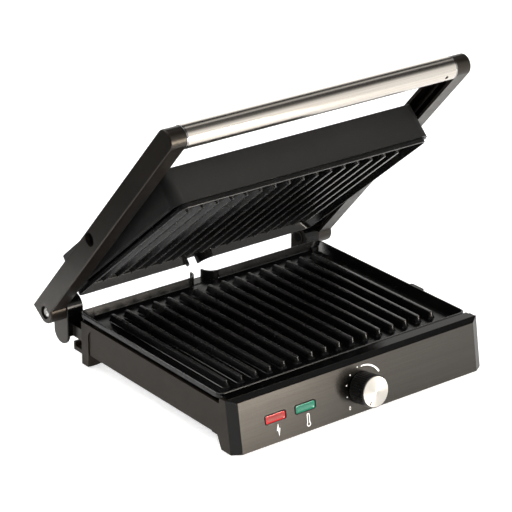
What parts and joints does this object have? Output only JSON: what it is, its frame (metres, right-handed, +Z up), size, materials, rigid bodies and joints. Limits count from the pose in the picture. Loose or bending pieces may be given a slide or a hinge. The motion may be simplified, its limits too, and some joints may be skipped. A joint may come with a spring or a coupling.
{
  "type": "panini press",
  "caption": "Contact grill with ribbed non-stick plates, a floating upper plate on two hinged arms, a tube handle and a temperature knob; lid open.",
  "frame": {"origin": "centre of the object's box on the table plane", "axes": "+X to the right seen from the front, +Y to the back, +Z up; the front panel faces -Y"},
  "size_m": [0.346, 0.3087, 0.2954],
  "materials": {
    "housing_black": "moulded phenolic and nylon, satin black-brown",
    "arm_black": "die-cast arm, satin black paint",
    "gloss_black": "polished black moulding",
    "panel_steel": "brushed dark stainless sheet",
    "tube_steel": "brushed stainless tube",
    "nonstick": "die-cast aluminium with black non-stick coating",
    "cover_sheet": "black painted sheet",
    "red_lens": "red transparent lens",
    "green_lens": "green transparent lens",
    "lamp_glass": "neon lamp bulb",
    "screw_steel": "zinc-plated steel",
    "rubber": "black rubber",
    "element_steel": "heat-tinted stainless sheath",
    "reflector_sheet": "bright aluminium sheet",
    "ceramic": "cream ceramic",
    "control_body": "brown phenolic",
    "knob_black": "black knurled knob",
    "knob_metal": "spun aluminium face"
  },
  "bodies": {
    "base": {"base_housing": "housing_black", "front_frame": "gloss_black", "fascia_panel": "panel_steel", "red_lens": "red_lens", "green_lens": "green_lens", "indicator_lamps": "lamp_glass", "bottom_cover": "cover_sheet", "cover_screws": "screw_steel", "rubber_feet": "rubber", "plate_support": "cover_sheet", "lower_plate": "nonstick", "lower_element": "element_steel", "lower_reflector": "reflector_sheet", "thermostat": "control_body", "terminal_block": "ceramic", "cord_gland": "rubber", "cord_cleats": "housing_black", "hinge_bracket_left": "housing_black", "hinge_bracket_right": "housing_black", "bracket_screws": "screw_steel"},
    "lid": {"arm_left": "arm_black", "arm_right": "arm_black", "hinge_pins": "screw_steel", "hinge_caps": "screw_steel", "handle_tube": "tube_steel", "handle_collar_left": "gloss_black", "handle_collar_right": "gloss_black"},
    "head": {"upper_housing": "housing_black", "upper_top_panel": "cover_sheet", "upper_carrier": "cover_sheet", "carrier_screws": "screw_steel", "upper_plate": "nonstick", "upper_element": "element_steel", "upper_reflector": "reflector_sheet", "thermal_fuse": "ceramic", "head_pins": "screw_steel"},
    "knob": {"knob_skirt": "knob_black", "knob_cap": "knob_metal", "knob_shaft": "screw_steel"},
    "lower_latch": {"lower_release": "gloss_black"},
    "upper_latch": {"upper_release": "gloss_black"}
  },
  "joints": [
    {"name": "lid_hinge", "type": "hinge", "parent": "base", "child": "lid", "pos_m": [0, 0.1334, 0.0513], "axis": [-1, 0, 0], "range_deg": [-39, 137.5]},
    {"name": "head_tilt", "type": "hinge", "parent": "lid", "child": "head", "pos_m": [0, 0.05286, 0.15388], "axis": [1, 0, 0], "range_deg": [0, 2]},
    {"name": "knob_turn", "type": "hinge", "parent": "base", "child": "knob", "pos_m": [0, -0.13218, 0.0245], "axis": [0, 0.9869, -0.1616], "range_deg": [0, 200]},
    {"name": "lower_latch_press", "type": "slide", "parent": "base", "child": "lower_latch", "axis": [-1, 0, 0], "range_m": [0, 0.003], "stiffness_N_per_m": 600},
    {"name": "upper_latch_press", "type": "slide", "parent": "head", "child": "upper_latch", "axis": [-1, 0, 0], "range_m": [0, 0.003], "stiffness_N_per_m": 600}
  ]
}
